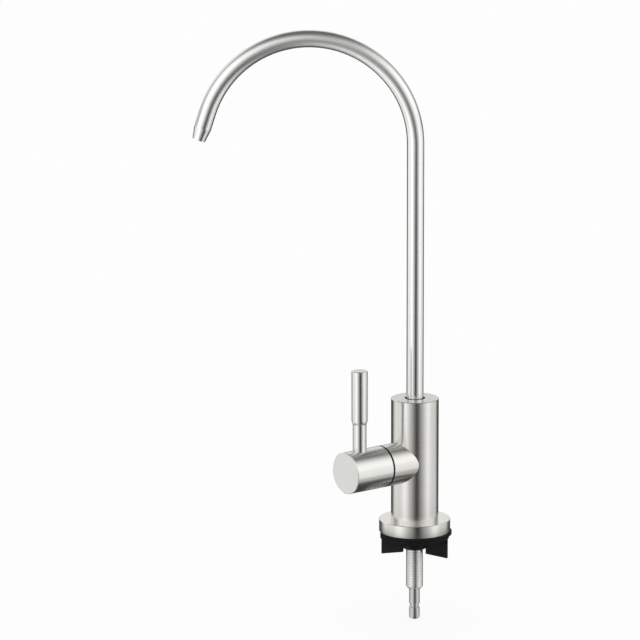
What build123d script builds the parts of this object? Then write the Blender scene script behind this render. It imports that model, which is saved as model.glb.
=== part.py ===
from build123d import *
import os
from math import cos, radians, sin, tan

# Drinking water filter tap: a swivelling gooseneck spout on a turned column, a quarter-turn ceramic
# valve in a side branch, and a threaded shank that a wing nut clamps under the deck.
# Millimetres, +Z up. The origin is the centre of the deck gasket's underside, which is the deck's
# upper face, and the spout points towards -X.

# Fits, each a radial clearance or a play between faces
running_clearance = 0.06
joint_clearance = 0.03
thread_clearance = 0.08
face_play = 0.1
overrun = 1.0

# Deck gasket, a flat rubber ring that lies a little off centre
gasket_inset = 0.1
gasket_thickness = 2.0
gasket_hole_clearance = 1.0
gasket_offset = 0.5

# Base flange, a thick round foot with a step that the column's spigot drops into
flange_diameter = 42.0
flange_thickness = 7.4
flange_edge_break = 0.25

# Body column, a turned bar with a spigot below and the spout's socket above
column_diameter = 28.0
column_height = 72.8
column_edge_break = 0.3
spigot_shoulder = 4.0
spigot_height = 5.0

# Threaded shank and the seal at its inner end
shank_diameter = 10.0
shank_reach = 33.3
shank_engagement = 16.0
shank_end_rim = 0.6
shank_bore_diameter = 5.0
shank_seal_thickness = 1.2
shank_seal_width = 2.0

# Inlet stub for a push-fit connector, with the groove that its collet grips
stub_diameter = 6.35
stub_bore_diameter = 4.2
stub_length = 18.6
stub_insertion = 8.0
stub_chamfer = 0.5
stub_groove_rise = 8.0
stub_groove_width = 2.3
stub_groove_depth = 0.5

# Clamp washer and wing nut
washer_diameter = 40.6
washer_thickness = 2.6
washer_hole_clearance = 0.5
washer_edge_break = 0.4
nut_hub_wall = 2.1
nut_hub_height = 6.1
nut_hub_edge_break = 0.5
wing_span = 40.2
wing_thickness = 2.4
wing_overhang = 3.0
wing_slant = 1.9
wing_notch_inset = 0.1
wing_edge_radius = 0.5
wing_turn = -16.0

# Valve axis, level, turned from -Y towards -X
valve_turn = 52.0

# Branch, glide ring and handle cap
branch_diameter = 24.4
branch_wall = 3.0
branch_length = 10.85
glide_gap = 0.7
glide_ring_thickness = 0.6
glide_ring_width = 2.0
glide_ring_inset = 0.6
cap_length = 26.45
cap_wall = 2.2
cap_edge_break = 0.35
cap_hollow_depth = 5.45

# Waterways drilled in the column
passage_diameter = 4.4
passage_wall = 1.6
passage_inset = 0.4

# Valve chamber, whose floor is this far out from the column's axis
chamber_floor = 1.0
chamber_gap = 1.2
collar_step = 1.0
collar_seat_inset = 2.4

# Cartridge housing
housing_wall = 1.4
housing_nose_gap = 0.4
collar_length = 3.6
neck_wall = 2.44
neck_stand_out = 0.8
window_count = 4
window_angle = 53.0
window_length = 3.4
window_gap = 0.8
body_seal_groove_width = 2.0
body_seal_groove_depth = 1.4

# Seat seal and the ceramic discs with their ports
seat_seal_thickness = 1.8
seat_seal_width = 1.0
disc_thickness = 2.4
disc_lug_width = 2.2
disc_lug_height = 0.8
port_inner_diameter = 2.8
port_rim = 0.34
port_angle = 70.0

# Spindle, with a blade in the moving disc's slot and a square end in the cap
blade_thickness = 2.4
blade_inset = 0.5
blade_engagement = 0.9
spindle_head_lip = 1.8
spindle_head_thickness = 1.4
spindle_head_gap = 0.4
drive_width_share = 0.7
drive_length = 7.0
drive_shoulder_gap = 0.4
spindle_seal_setback = 1.0
spindle_seal_groove_width = 1.3
spindle_seal_groove_depth = 1.0
circlip_thickness = 0.6
circlip_width = 2.3
circlip_groove_depth = 0.6
circlip_mouth = 2.4

# Gland nut, with a hexagon outside the branch
gland_corner_gap = 0.75
gland_hexagon_height = 3.35

# Grub screw in the underside of the cap
grub_screw_diameter = 4.0
grub_screw_setback = 4.0
grub_screw_recess = 1.3
grub_socket_width = 2.0
grub_socket_depth = 2.5

# Lever, a stem screwed into the cap and a grip screwed on the stem
lever_setback = 10.5
lever_stem_diameter = 8.0
lever_stem_length = 15.7
lever_seat_depth = 1.2
lever_stud_diameter = 5.0
lever_stud_length = 5.5
lever_grip_diameter = 9.4
lever_grip_length = 31.7
grip_lower_chamfer = 0.8
grip_lower_chamfer_length = 2.3
grip_top_break = 0.3
grip_stud_length = 9.0

# Spout socket in the column, and the web between its floor and the valve chamber
socket_depth = 24.2
socket_floor_play = 0.5
socket_web = 5.1

# Spout end fitting, its seals, retaining ring and wiper
fitting_wall = 1.0
fitting_stop_lip = 0.4
fitting_recess = 1.0
fitting_sleeve_depth = 10.0
spout_seal_groove_width = 2.0
spout_seal_groove_depth = 1.6
lower_seal_rise = 2.9
upper_seal_rise = 6.7
retainer_rise = 10.7
retainer_thickness = 1.0
retainer_bite = 0.65
retainer_groove_depth = 0.6
retainer_mouth = 2.0
wiper_thickness = 0.8

# Spout tube, a gooseneck with a drawn-down nozzle
tube_diameter = 10.0
tube_wall = 1.0
spout_rise = 150.6
spout_bend_radius = 61.5
spout_bend_angle = 162.0
spout_outlet_run = 9.8
nozzle_length = 7.2
nozzle_draw = 1.15
nozzle_end_wall = 0.85

# Radii that follow from the sizes above, from the branch inwards and from the tube outwards
gasket_radius = flange_diameter / 2 - gasket_inset
spigot_radius = column_diameter / 2 - spigot_shoulder
shank_radius = shank_diameter / 2
stub_radius = stub_diameter / 2
shank_chamfer = shank_radius - stub_radius - joint_clearance - shank_end_rim
hub_radius = shank_radius + nut_hub_wall
gland_radius = branch_diameter / 2 - branch_wall
chamber_radius = gland_radius - collar_step
housing_radius = chamber_radius - chamber_gap
bore_radius = housing_radius - housing_wall
turning_disc_radius = bore_radius - 3 * face_play
seat_seal_radius = bore_radius - 2 * joint_clearance
port_radius = seat_seal_radius - seat_seal_width - port_rim
spindle_radius = turning_disc_radius - spindle_head_lip
spindle_bore_radius = spindle_radius + running_clearance
neck_radius = spindle_bore_radius + neck_wall
drive_width = drive_width_share * 2 * spindle_radius
cap_hollow_radius = branch_diameter / 2 - cap_wall
tube_radius = tube_diameter / 2
tube_bore_radius = tube_radius - tube_wall
fitting_radius = tube_radius + fitting_wall
fitting_bore_radius = tube_bore_radius - fitting_stop_lip
socket_radius = fitting_radius + running_clearance

# Heights that follow from the sizes above
flange_top = gasket_thickness + flange_thickness
column_top = flange_top + column_height
spigot_bottom = flange_top - spigot_height
shank_top = spigot_bottom + shank_engagement
shank_hole_top = shank_top + shank_seal_thickness
stub_end = -shank_reach - stub_length
socket_floor = column_top - socket_depth
valve_height = socket_floor - socket_web - chamber_radius
fitting_bottom = socket_floor + socket_floor_play
fitting_top = column_top - fitting_recess
tube_foot = fitting_top - fitting_sleeve_depth
bend_height = column_top + spout_rise

# Distances out along the valve axis that follow from the sizes above
branch_reach = column_diameter / 2 + branch_length
collar_seat = column_diameter / 2 + collar_seat_inset
inlet_passage_offset = passage_diameter / 2 + passage_wall - chamber_floor
outlet_passage_offset = chamber_floor + passage_inset + passage_diameter / 2
seal_face = chamber_floor + seat_seal_thickness
disc_face = seal_face + disc_thickness
moving_disc_top = disc_face + disc_thickness
window_start = moving_disc_top + window_gap
window_end = window_start + window_length
spindle_head_start = window_end + spindle_head_gap
spindle_head_end = spindle_head_start + spindle_head_thickness
cavity_end = spindle_head_end + 2 * face_play
collar_end = collar_seat + collar_length
cap_start = branch_reach + glide_gap
cap_floor = cap_start + cap_hollow_depth
cap_reach = cap_start + cap_length
hexagon_end = branch_reach + gland_hexagon_height
neck_end = hexagon_end + neck_stand_out
circlip_start = neck_end + face_play
spindle_seal_place = collar_end + spindle_seal_setback
spindle_round_end = cap_floor - drive_shoulder_gap
drive_end = cap_floor + drive_length
grub_screw_place = cap_floor + grub_screw_setback
lever_place = cap_reach - lever_setback

# The valve's own frame: its Z runs out along the valve axis, and its X points up
valve_direction = (-sin(radians(valve_turn)), -cos(radians(valve_turn)), 0)
valve_frame = Plane(origin=(0, 0, valve_height), x_dir=(0, 0, 1), z_dir=valve_direction)


def turned(*profile):
    """A solid turned about Z from the (radius, height) corners of its half section."""
    outline = Polyline(*[(radius, 0, height) for radius, height in profile], close=True)
    return revolve(make_face(outline), axis=Axis.Z)


def rod(radius, low, high):
    """A plain cylinder about Z between two heights."""
    cylinder = Cylinder(radius, high - low, align=(Align.CENTER, Align.CENTER, Align.MIN))
    return Pos(0, 0, low) * cylinder


def ring(inner_radius, outer_radius, low, high):
    """A flat ring about Z between two heights."""
    return turned((inner_radius, low), (outer_radius, low), (outer_radius, high), (inner_radius, high))


def bar(size_x, size_y, low, high):
    """A square-cornered bar centred on Z between two heights."""
    block = Box(size_x, size_y, high - low, align=(Align.CENTER, Align.CENTER, Align.MIN))
    return Pos(0, 0, low) * block


def seal_ring(inner_radius, outer_radius, centre):
    """A round-section seal ring that just fills the gap between two radii."""
    section_radius = (outer_radius - inner_radius) / 2
    return Pos(0, 0, centre) * Torus((outer_radius + inner_radius) / 2, section_radius)


def snap_ring(inner_radius, outer_radius, low, high, mouth):
    """A flat spring ring, open on one side."""
    slot = Pos(outer_radius, 0, low) * Box(
        2 * (outer_radius - inner_radius) + overrun,
        mouth,
        high - low + overrun,
        align=(Align.CENTER, Align.CENTER, Align.CENTER),
    )
    return ring(inner_radius, outer_radius, low, high) - slot


def in_valve(piece):
    """Moves a piece from the valve's own frame to its place on the column."""
    return valve_frame.location * piece


def deck_gasket():
    """The flat rubber ring between flange and deck."""
    outer = Pos(gasket_offset, 0, 0) * rod(gasket_radius, 0, gasket_thickness)
    return outer - rod(shank_radius + gasket_hole_clearance, -overrun, gasket_thickness + overrun)


def base_flange():
    """The thick foot plate, stepped inside for the column's spigot and the shank."""
    step_radius = spigot_radius + joint_clearance
    hole_radius = shank_radius + washer_hole_clearance
    rim = flange_diameter / 2
    low = gasket_thickness
    return turned(
        (hole_radius, low),
        (rim - flange_edge_break, low),
        (rim, low + flange_edge_break),
        (rim, flange_top - flange_edge_break),
        (rim - flange_edge_break, flange_top),
        (step_radius, flange_top),
        (step_radius, spigot_bottom),
        (hole_radius, spigot_bottom),
    )


def column_waterways():
    """The chamber and the drillings that join shank, valve and socket."""
    passage_radius = passage_diameter / 2
    chamber = rod(chamber_radius, chamber_floor, column_diameter)
    seat_port = rod(passage_radius, -inlet_passage_offset, chamber_floor + overrun)
    inlet = Pos(0, 0, -inlet_passage_offset) * Rot(0, -90, 0) * rod(
        passage_radius, 0, valve_height - shank_hole_top + overrun
    )
    outlet = Pos(0, 0, outlet_passage_offset) * Rot(0, 90, 0) * rod(
        passage_radius, 0, socket_floor - valve_height + overrun
    )
    return in_valve(chamber + seat_port + inlet + outlet)


def body_column():
    """The turned column, with its spigot, socket, snap ring groove and waterways."""
    radius = column_diameter / 2
    groove_low = fitting_bottom + retainer_rise - retainer_thickness / 2 - face_play / 2
    groove_high = groove_low + retainer_thickness + face_play
    blank = turned(
        (0, spigot_bottom),
        (spigot_radius, spigot_bottom),
        (spigot_radius, flange_top),
        (radius, flange_top),
        (radius, column_top - column_edge_break),
        (radius - column_edge_break, column_top),
        (socket_radius, column_top),
        (socket_radius, groove_high),
        (socket_radius + retainer_bite, groove_high),
        (socket_radius + retainer_bite, groove_low),
        (socket_radius, groove_low),
        (socket_radius, socket_floor),
        (0, socket_floor),
    )
    shank_hole = rod(shank_radius + joint_clearance, spigot_bottom - overrun, shank_hole_top)
    return blank - shank_hole - column_waterways()


def threaded_shank():
    """The hollow threaded shank, counterbored below for the inlet stub."""
    hole_radius = shank_bore_diameter / 2
    counterbore_radius = stub_radius + joint_clearance
    counterbore_top = stub_insertion - shank_reach
    return turned(
        (hole_radius, shank_top),
        (hole_radius, counterbore_top),
        (counterbore_radius, counterbore_top),
        (counterbore_radius, -shank_reach),
        (shank_radius - shank_chamfer, -shank_reach),
        (shank_radius, shank_chamfer - shank_reach),
        (shank_radius, shank_top - shank_chamfer),
        (shank_radius - shank_chamfer, shank_top),
    )


def shank_seal():
    """The flat seal between the shank's inner end and the column."""
    outer_radius = shank_radius - joint_clearance
    return ring(outer_radius - shank_seal_width, outer_radius, shank_top, shank_hole_top)


def inlet_stub():
    """The quarter-inch stub, with the sloped collet groove near its end."""
    hole_radius = stub_bore_diameter / 2
    top = stub_insertion - shank_reach
    groove_centre = stub_end + stub_groove_rise
    groove_low = groove_centre - stub_groove_width / 2
    groove_high = groove_centre + stub_groove_width / 2
    return turned(
        (hole_radius, stub_end),
        (stub_radius - stub_chamfer, stub_end),
        (stub_radius, stub_end + stub_chamfer),
        (stub_radius, groove_low),
        (stub_radius - stub_groove_depth, groove_low + stub_groove_depth / 2),
        (stub_radius - stub_groove_depth, groove_high - stub_groove_depth),
        (stub_radius, groove_high),
        (stub_radius, top),
        (hole_radius, top),
    )


def clamp_washer():
    """The stiff disc that the wing nut presses up against the deck."""
    rim = washer_diameter / 2
    hole_radius = shank_radius + washer_hole_clearance
    return turned(
        (hole_radius, -washer_thickness),
        (rim - washer_edge_break, -washer_thickness),
        (rim, washer_edge_break - washer_thickness),
        (rim, 0),
        (hole_radius, 0),
    )


def wing_nut():
    """The moulded nut: a hub with two flat wings, notched below the hub."""
    thread_radius = shank_radius + thread_clearance
    top = -washer_thickness - face_play
    hub_bottom = top - nut_hub_height
    wing_low = hub_bottom - wing_overhang
    tip = wing_span / 2
    notch = hub_radius - wing_notch_inset
    hub = turned(
        (0, hub_bottom),
        (hub_radius - nut_hub_edge_break, hub_bottom),
        (hub_radius, hub_bottom + nut_hub_edge_break),
        (hub_radius, top),
        (0, top),
    )
    outline = Polyline(
        (0, 0, top),
        (tip, 0, top),
        (tip, 0, wing_low - wing_slant),
        (notch, 0, wing_low),
        (notch, 0, hub_bottom + nut_hub_edge_break),
        (0, 0, hub_bottom + nut_hub_edge_break),
        close=True,
    )
    wing = extrude(make_face(outline), amount=wing_thickness / 2, both=True)
    tip_edges = wing.edges().filter_by(Axis.Z).group_by(Axis.X)[-1]
    wing = fillet(tip_edges, radius=wing_edge_radius)
    nut = hub + wing + Rot(0, 0, 180) * wing
    nut -= rod(thread_radius, hub_bottom - overrun, top + overrun)
    return Rot(0, 0, wing_turn) * nut


def valve_branch():
    """The side branch, saddled onto the column and bored for the cartridge."""
    outside = rod(branch_diameter / 2, 0, branch_reach)
    chamber = rod(chamber_radius, -overrun, collar_seat)
    gland_bore = rod(gland_radius, collar_seat, branch_reach + overrun)
    saddle = rod(column_diameter / 2 + joint_clearance, flange_top, column_top)
    return in_valve(outside - chamber - gland_bore) - saddle


def glide_ring():
    """The black ring that shows in the gap between branch and cap."""
    outer_radius = branch_diameter / 2 - glide_ring_inset
    inner_radius = outer_radius - glide_ring_width
    return in_valve(ring(inner_radius, outer_radius, branch_reach, branch_reach + glide_ring_thickness))


def cartridge_housing():
    """The brass housing: nose, windows, collar with its seal groove, and neck."""
    collar_radius = gland_radius - thread_clearance
    groove_radius = collar_radius - body_seal_groove_depth
    groove_low = (collar_seat + collar_end - body_seal_groove_width) / 2
    groove_high = groove_low + body_seal_groove_width
    nose = chamber_floor + housing_nose_gap
    housing = turned(
        (bore_radius, nose),
        (housing_radius, nose),
        (housing_radius, collar_seat),
        (collar_radius, collar_seat),
        (collar_radius, groove_low),
        (groove_radius, groove_low),
        (groove_radius, groove_high),
        (collar_radius, groove_high),
        (collar_radius, collar_end),
        (neck_radius, collar_end),
        (neck_radius, neck_end),
        (spindle_bore_radius, neck_end),
        (spindle_bore_radius, cavity_end),
        (bore_radius, cavity_end),
    )
    window_width = 2 * bore_radius * sin(radians(window_angle / 2))
    window = Pos(housing_radius, 0, 0) * bar(housing_radius, window_width, window_start, window_end)
    for index in range(window_count):
        housing -= Rot(0, 0, 360 * (index + 1 / 2) / window_count) * window
    key_slots = bar(
        2 * (bore_radius + disc_lug_height + joint_clearance),
        disc_lug_width + 2 * joint_clearance,
        nose - overrun,
        disc_face,
    )
    return in_valve(housing - key_slots)


def cartridge_body_seal():
    """The seal ring round the housing's collar."""
    inner_radius = gland_radius - thread_clearance - body_seal_groove_depth
    outer_radius = gland_radius - joint_clearance
    return in_valve(seal_ring(inner_radius, outer_radius, (collar_seat + collar_end) / 2))


def cartridge_seat_seal():
    """The rubber seat between the column and the fixed disc."""
    inner_radius = seat_seal_radius - seat_seal_width
    return in_valve(ring(inner_radius, seat_seal_radius, chamber_floor, seal_face))


def port_pair():
    """The flat outline of a disc's two opposite ports, which lie along X."""
    band = Circle(port_radius) - Circle(port_inner_diameter / 2)
    reach = 2 * port_radius
    spread = reach * tan(radians(port_angle / 2))
    wedge = make_face(Polyline((0, 0), (reach, spread), (reach, -spread), close=True))
    return band & (wedge + Rot(0, 0, 180) * wedge)


def fixed_ceramic_disc():
    """The keyed disc, with its ports up and down."""
    radius = bore_radius - joint_clearance
    lugs = bar(2 * (radius + disc_lug_height), disc_lug_width, seal_face, disc_face)
    ports = Pos(0, 0, seal_face) * extrude(port_pair(), amount=disc_thickness)
    return in_valve(rod(radius, seal_face, disc_face) + lugs - ports)


def moving_ceramic_disc():
    """The disc that the spindle turns, shut at rest with its ports to the sides."""
    disc = rod(turning_disc_radius, disc_face, moving_disc_top)
    ports = Pos(0, 0, disc_face) * Rot(0, 0, 90) * extrude(port_pair(), amount=disc_thickness)
    slot = bar(
        2 * bore_radius,
        blade_thickness + 2 * joint_clearance,
        moving_disc_top - blade_engagement,
        moving_disc_top + overrun,
    )
    return in_valve(disc - ports - slot)


def valve_spindle():
    """The spindle: blade, head, grooved shaft and square drive."""
    seal_radius = spindle_radius - spindle_seal_groove_depth
    seal_low = spindle_seal_place - spindle_seal_groove_width / 2
    seal_high = spindle_seal_place + spindle_seal_groove_width / 2
    clip_radius = spindle_radius - circlip_groove_depth
    clip_high = circlip_start + circlip_thickness
    shaft = turned(
        (0, spindle_head_start),
        (turning_disc_radius, spindle_head_start),
        (turning_disc_radius, spindle_head_end),
        (spindle_radius, spindle_head_end),
        (spindle_radius, seal_low),
        (seal_radius, seal_low),
        (seal_radius, seal_high),
        (spindle_radius, seal_high),
        (spindle_radius, circlip_start),
        (clip_radius, circlip_start),
        (clip_radius, clip_high),
        (spindle_radius, clip_high),
        (spindle_radius, spindle_round_end),
        (0, spindle_round_end),
    )
    blade = bar(
        2 * (turning_disc_radius - blade_inset),
        blade_thickness,
        moving_disc_top - blade_engagement,
        spindle_head_start,
    )
    drive = bar(drive_width, drive_width, spindle_round_end, drive_end)
    return in_valve(shaft + blade + drive)


def spindle_seal():
    """The seal ring in the spindle's groove."""
    inner_radius = spindle_radius - spindle_seal_groove_depth
    return in_valve(seal_ring(inner_radius, spindle_radius, spindle_seal_place))


def spindle_circlip():
    """The clip outside the neck that keeps the spindle in."""
    inner_radius = spindle_radius - circlip_groove_depth + joint_clearance
    clip = snap_ring(
        inner_radius,
        inner_radius + circlip_width,
        circlip_start,
        circlip_start + circlip_thickness,
        circlip_mouth,
    )
    return in_valve(clip)


def gland_nut():
    """The nut that holds the cartridge down, with its hexagon inside the cap."""
    thread_radius = gland_radius - thread_clearance
    hexagon = RegularPolygon(cap_hollow_radius - gland_corner_gap, 6)
    head = Pos(0, 0, branch_reach) * extrude(hexagon, amount=gland_hexagon_height)
    bore = rod(neck_radius + thread_clearance, collar_end - overrun, hexagon_end + overrun)
    return in_valve(rod(thread_radius, collar_end, branch_reach) + head - bore)


def cap_cross_hole(radius, depth_from_axis, direction):
    """A drilling across the cap, from outside in to a distance from the valve axis."""
    return Rot(0, direction * 90, 0) * rod(radius, depth_from_axis, branch_diameter / 2 + overrun)


def handle_cap():
    """The turned cap, hollow inside, with the drive socket and two cross holes."""
    radius = branch_diameter / 2
    cap = turned(
        (0, cap_floor),
        (cap_hollow_radius, cap_floor),
        (cap_hollow_radius, cap_start),
        (radius - cap_edge_break, cap_start),
        (radius, cap_start + cap_edge_break),
        (radius, cap_reach - cap_edge_break),
        (radius - cap_edge_break, cap_reach),
        (0, cap_reach),
    )
    socket_width = drive_width + 2 * joint_clearance
    cap -= bar(socket_width, socket_width, cap_floor - overrun, drive_end + face_play)
    lever_seat = radius - lever_seat_depth
    lever_bottom = lever_seat - lever_stud_length - face_play
    lever_hole = cap_cross_hole(lever_stud_diameter / 2 + joint_clearance, lever_bottom, 1)
    lever_hole += cap_cross_hole(lever_stem_diameter / 2 + joint_clearance, lever_seat, 1)
    cap -= Pos(0, 0, lever_place) * lever_hole
    screw_hole = cap_cross_hole(grub_screw_diameter / 2 + joint_clearance, 0, -1)
    cap -= Pos(0, 0, grub_screw_place) * screw_hole
    return in_valve(cap)


def cap_grub_screw():
    """The socket set screw that bears on the spindle's square end."""
    radius = grub_screw_diameter / 2
    tip = drive_width / 2
    head = branch_diameter / 2 - grub_screw_recess
    socket = Pos(0, 0, head - grub_socket_depth) * extrude(
        RegularPolygon(grub_socket_width / 2, 6, major_radius=False),
        amount=grub_socket_depth + overrun,
    )
    screw = rod(radius, tip, head) - socket
    return in_valve(Pos(0, 0, grub_screw_place) * Rot(0, -90, 0) * screw)


def on_lever(piece):
    """Moves a piece that stands on Z to the lever's place, upright on the cap."""
    return in_valve(Pos(0, 0, lever_place) * Rot(0, 90, 0) * piece)


def lever_stem():
    """The lower rod, with a stud into the cap and a stud up into the grip."""
    radius = lever_stem_diameter / 2
    stud_radius = lever_stud_diameter / 2
    seat = branch_diameter / 2 - lever_seat_depth
    shoulder = branch_diameter / 2 + lever_stem_length
    return on_lever(turned(
        (0, seat - lever_stud_length),
        (stud_radius, seat - lever_stud_length),
        (stud_radius, seat),
        (radius, seat),
        (radius, shoulder),
        (stud_radius, shoulder),
        (stud_radius, shoulder + grip_stud_length),
        (0, shoulder + grip_stud_length),
    ))


def lever_grip():
    """The thicker upper rod, chamfered below and bored for the stem's stud."""
    radius = lever_grip_diameter / 2
    hole_radius = lever_stud_diameter / 2 + joint_clearance
    foot = branch_diameter / 2 + lever_stem_length
    top = foot + lever_grip_length
    bore_top = foot + grip_stud_length + face_play
    return on_lever(turned(
        (hole_radius, foot),
        (radius - grip_lower_chamfer, foot),
        (radius, foot + grip_lower_chamfer_length),
        (radius, top - grip_top_break),
        (radius - grip_top_break, top),
        (0, top),
        (0, bore_top),
        (hole_radius, bore_top),
    ))


def spout_retaining_ring():
    """The snap ring in the column's groove that keeps the spout down."""
    centre = fitting_bottom + retainer_rise
    inner_radius = fitting_radius - retainer_groove_depth + face_play
    outer_radius = socket_radius + retainer_bite - joint_clearance
    low = centre - retainer_thickness / 2
    return snap_ring(inner_radius, outer_radius, low, low + retainer_thickness, retainer_mouth)


def spout_end_fitting():
    """The turned fitting on the tube's foot, with two seal grooves and a ring groove."""
    sleeve_radius = tube_radius + joint_clearance
    fitting = turned(
        (fitting_bore_radius, fitting_bottom),
        (fitting_radius, fitting_bottom),
        (fitting_radius, fitting_top),
        (sleeve_radius, fitting_top),
        (sleeve_radius, tube_foot),
        (fitting_bore_radius, tube_foot),
    )
    groove_rim = fitting_radius + overrun
    seal_groove_radius = fitting_radius - spout_seal_groove_depth
    for rise in (lower_seal_rise, upper_seal_rise):
        low = fitting_bottom + rise - spout_seal_groove_width / 2
        fitting -= ring(seal_groove_radius, groove_rim, low, low + spout_seal_groove_width)
    ring_low = fitting_bottom + retainer_rise - retainer_thickness / 2 - face_play
    ring_high = ring_low + retainer_thickness + 2 * face_play
    return fitting - ring(fitting_radius - retainer_groove_depth, groove_rim, ring_low, ring_high)


def spout_seal(rise):
    """One of the two seal rings round the end fitting."""
    inner_radius = fitting_radius - spout_seal_groove_depth
    return seal_ring(inner_radius, fitting_radius, fitting_bottom + rise)


def spout_wiper_ring():
    """The black ring that closes the socket's mouth round the tube."""
    inner_radius = tube_radius + joint_clearance
    return ring(inner_radius, fitting_radius, fitting_top, fitting_top + wiper_thickness)


def spout_route():
    """The tube's centre line: up from the fitting, round the bend and down to the nozzle."""
    rise = Line((0, 0, tube_foot), (0, 0, bend_height))
    bend = CenterArc((0, 0), spout_bend_radius, 0, spout_bend_angle)
    bend = Pos(-spout_bend_radius, 0, bend_height) * Rot(90, 0, 0) * bend
    run = Line(bend @ 1, bend @ 1 + (bend % 1) * spout_outlet_run)
    return Wire([rise, bend, run])


def spout_tube():
    """The gooseneck, one bent tube drawn down to its nozzle."""
    route = spout_route()
    section = Pos(0, 0, tube_foot) * Circle(tube_radius)
    bore_section = Pos(0, 0, tube_foot) * Circle(tube_bore_radius)
    nozzle_frame = Plane(origin=route @ 1, z_dir=route % 1)
    end_radius = tube_radius - nozzle_draw
    end_bore = end_radius - nozzle_end_wall
    from_foot = (Align.CENTER, Align.CENTER, Align.MIN)
    nozzle = Cone(tube_radius, end_radius, nozzle_length, align=from_foot)
    nozzle -= Cone(tube_bore_radius, end_bore, nozzle_length, align=from_foot)
    tube = sweep(section, path=route) - sweep(bore_section, path=route)
    return tube + nozzle_frame.location * nozzle


pieces = {
    "deck_gasket": deck_gasket(),
    "base_flange": base_flange(),
    "body_column": body_column(),
    "threaded_shank": threaded_shank(),
    "shank_seal": shank_seal(),
    "inlet_stub": inlet_stub(),
    "clamp_washer": clamp_washer(),
    "wing_nut": wing_nut(),
    "valve_branch": valve_branch(),
    "glide_ring": glide_ring(),
    "cartridge_housing": cartridge_housing(),
    "cartridge_body_seal": cartridge_body_seal(),
    "cartridge_seat_seal": cartridge_seat_seal(),
    "fixed_ceramic_disc": fixed_ceramic_disc(),
    "gland_nut": gland_nut(),
    "moving_ceramic_disc": moving_ceramic_disc(),
    "valve_spindle": valve_spindle(),
    "spindle_seal": spindle_seal(),
    "spindle_circlip": spindle_circlip(),
    "handle_cap": handle_cap(),
    "cap_grub_screw": cap_grub_screw(),
    "lever_stem": lever_stem(),
    "lever_grip": lever_grip(),
    "spout_retaining_ring": spout_retaining_ring(),
    "spout_end_fitting": spout_end_fitting(),
    "upper_spout_seal": spout_seal(upper_seal_rise),
    "lower_spout_seal": spout_seal(lower_seal_rise),
    "spout_wiper_ring": spout_wiper_ring(),
    "spout_tube": spout_tube(),
}

os.makedirs("parts", exist_ok=True)
for name, piece in pieces.items():
    export_step(piece, f"parts/{name}.step")
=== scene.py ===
"""Looks of a drinking water filter tap: its finishes, its finer pieces and a plain studio round it."""
import logging
import math
from dataclasses import dataclass
from enum import Enum

import bmesh
import bpy
from mathutils import Matrix, Vector


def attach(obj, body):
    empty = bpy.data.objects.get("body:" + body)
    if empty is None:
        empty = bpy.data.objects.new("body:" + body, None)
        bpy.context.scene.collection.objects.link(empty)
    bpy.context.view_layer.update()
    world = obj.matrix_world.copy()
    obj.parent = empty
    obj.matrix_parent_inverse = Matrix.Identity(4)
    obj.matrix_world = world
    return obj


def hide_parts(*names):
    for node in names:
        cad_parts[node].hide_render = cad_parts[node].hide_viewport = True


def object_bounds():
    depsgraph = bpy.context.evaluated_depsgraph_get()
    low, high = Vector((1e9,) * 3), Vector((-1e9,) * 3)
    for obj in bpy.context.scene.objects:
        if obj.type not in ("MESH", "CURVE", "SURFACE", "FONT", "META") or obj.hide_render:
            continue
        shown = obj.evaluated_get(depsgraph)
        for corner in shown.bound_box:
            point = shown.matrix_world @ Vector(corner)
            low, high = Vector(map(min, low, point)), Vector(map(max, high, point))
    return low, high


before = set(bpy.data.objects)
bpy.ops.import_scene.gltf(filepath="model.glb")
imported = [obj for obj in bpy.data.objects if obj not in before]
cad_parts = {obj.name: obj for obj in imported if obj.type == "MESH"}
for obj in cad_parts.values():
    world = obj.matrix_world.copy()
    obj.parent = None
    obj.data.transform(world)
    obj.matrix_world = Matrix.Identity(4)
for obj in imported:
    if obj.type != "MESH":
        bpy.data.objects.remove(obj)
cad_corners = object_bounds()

MM = 0.001
DEGREE = math.radians(1.0)
log = logging.getLogger("tap")

# Plain white, and what a vector is multiplied by to keep its level part
WHITE = (1.0, 1.0, 1.0, 1.0)
LEVEL_PART = (1.0, 1.0, 0.0)

# Most of a noise's values lie between these two
NOISE_LOW = 0.3
NOISE_HIGH = 0.7

# A colour ramp holds values up to 1, so a row of stops is kept divided by this, and none is higher
STOP_LIMIT = 2.0

# Points closer than this are one point
WELD = 0.0005 * MM

# Edges that turn by more than this are rounded, with this many strips
SHARP_ANGLE = math.radians(20.0)
ROUNDING_STRIPS = 3

# How many strips a full turn has, on the wide rings and on the narrow pieces
WIDE_TURN_STEPS = 96
NARROW_TURN_STEPS = 72


def linear(colour: str) -> tuple[float, float, float, float]:
    """Turns an sRGB hex colour into the linear values that a shader takes.

    Args:
        colour: six hex digits after a hash sign.

    Returns:
        linear red, green and blue, and an alpha of 1.
    """
    def channel(start: int) -> float:
        """The linear value of the two digits from a place on, by the curve of the sRGB standard."""
        value = int(colour[start:start + 2], 16) / 255
        return value / 12.92 if value <= 0.04045 else ((value + 0.055) / 1.055) ** 2.4

    return channel(1), channel(3), channel(5), 1.0


def add_node(
    tree: bpy.types.NodeTree, kind: str, inputs: dict[str | int, object] | None = None, **settings: object
) -> bpy.types.Node:
    """Adds a node with its settings, and sets or links its inputs.

    Args:
        tree: the node tree that takes the node.
        kind: the node's type, without the leading ShaderNode.
        inputs: for an input's name or number, a value or the output socket that feeds it.
        settings: properties of the node itself.

    Returns:
        the new node.
    """
    node = tree.nodes.new("ShaderNode" + kind)
    for key, value in settings.items():
        setattr(node, key, value)
    for key, value in (inputs or {}).items():
        if isinstance(value, bpy.types.NodeSocket):
            tree.links.new(value, node.inputs[key])
        else:
            node.inputs[key].default_value = value
    return node


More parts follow.
